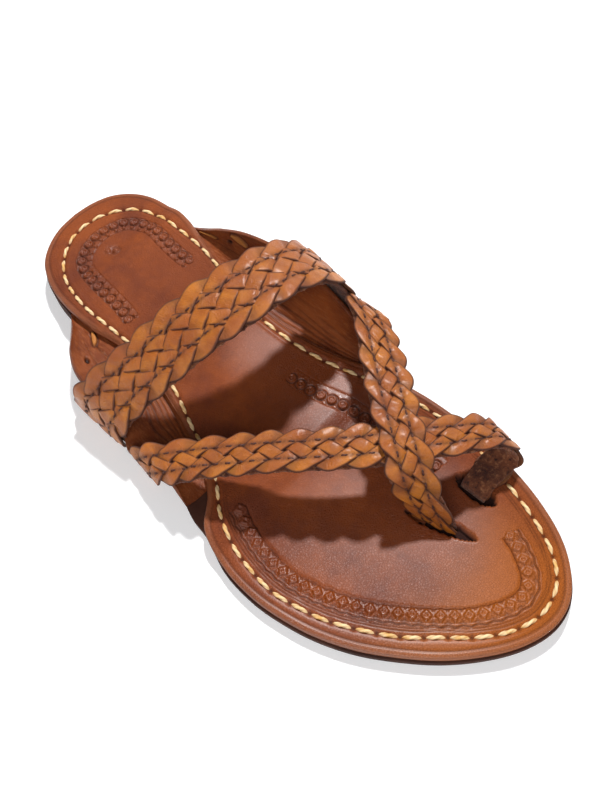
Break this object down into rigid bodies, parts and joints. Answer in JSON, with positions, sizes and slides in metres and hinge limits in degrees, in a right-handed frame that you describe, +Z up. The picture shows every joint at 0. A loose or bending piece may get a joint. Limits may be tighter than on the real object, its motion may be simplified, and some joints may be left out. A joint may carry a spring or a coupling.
{
  "type": "kolhapuri sandal",
  "caption": "Flat open leather sandal with a braided instep band and crossed braided toe straps over a stitched insole, side flaps, outsole and low heel lift.",
  "frame": {"origin": "on the floor under the middle of the heel", "axes": "+Z up, -Y towards the toe, +X towards the big-toe side of a right foot"},
  "size_m": [0.1112, 0.2664, 0.0545],
  "materials": {
    "sole_leather": "dark brown edge-dyed bark leather, dull",
    "ear_leather": "red-brown waxed leather with fine creases",
    "insole_leather": "reddish brown burnished leather with stamped border, satin",
    "braid_leather": "tan glossy braided leather, darker in its grooves"
  },
  "bodies": {
    "root": {"heel_lift": "sole_leather", "outsole": "sole_leather", "ear_lateral": "ear_leather", "ear_medial": "ear_leather", "insole": "insole_leather", "upper": "braid_leather"}
  },
  "joints": []
}
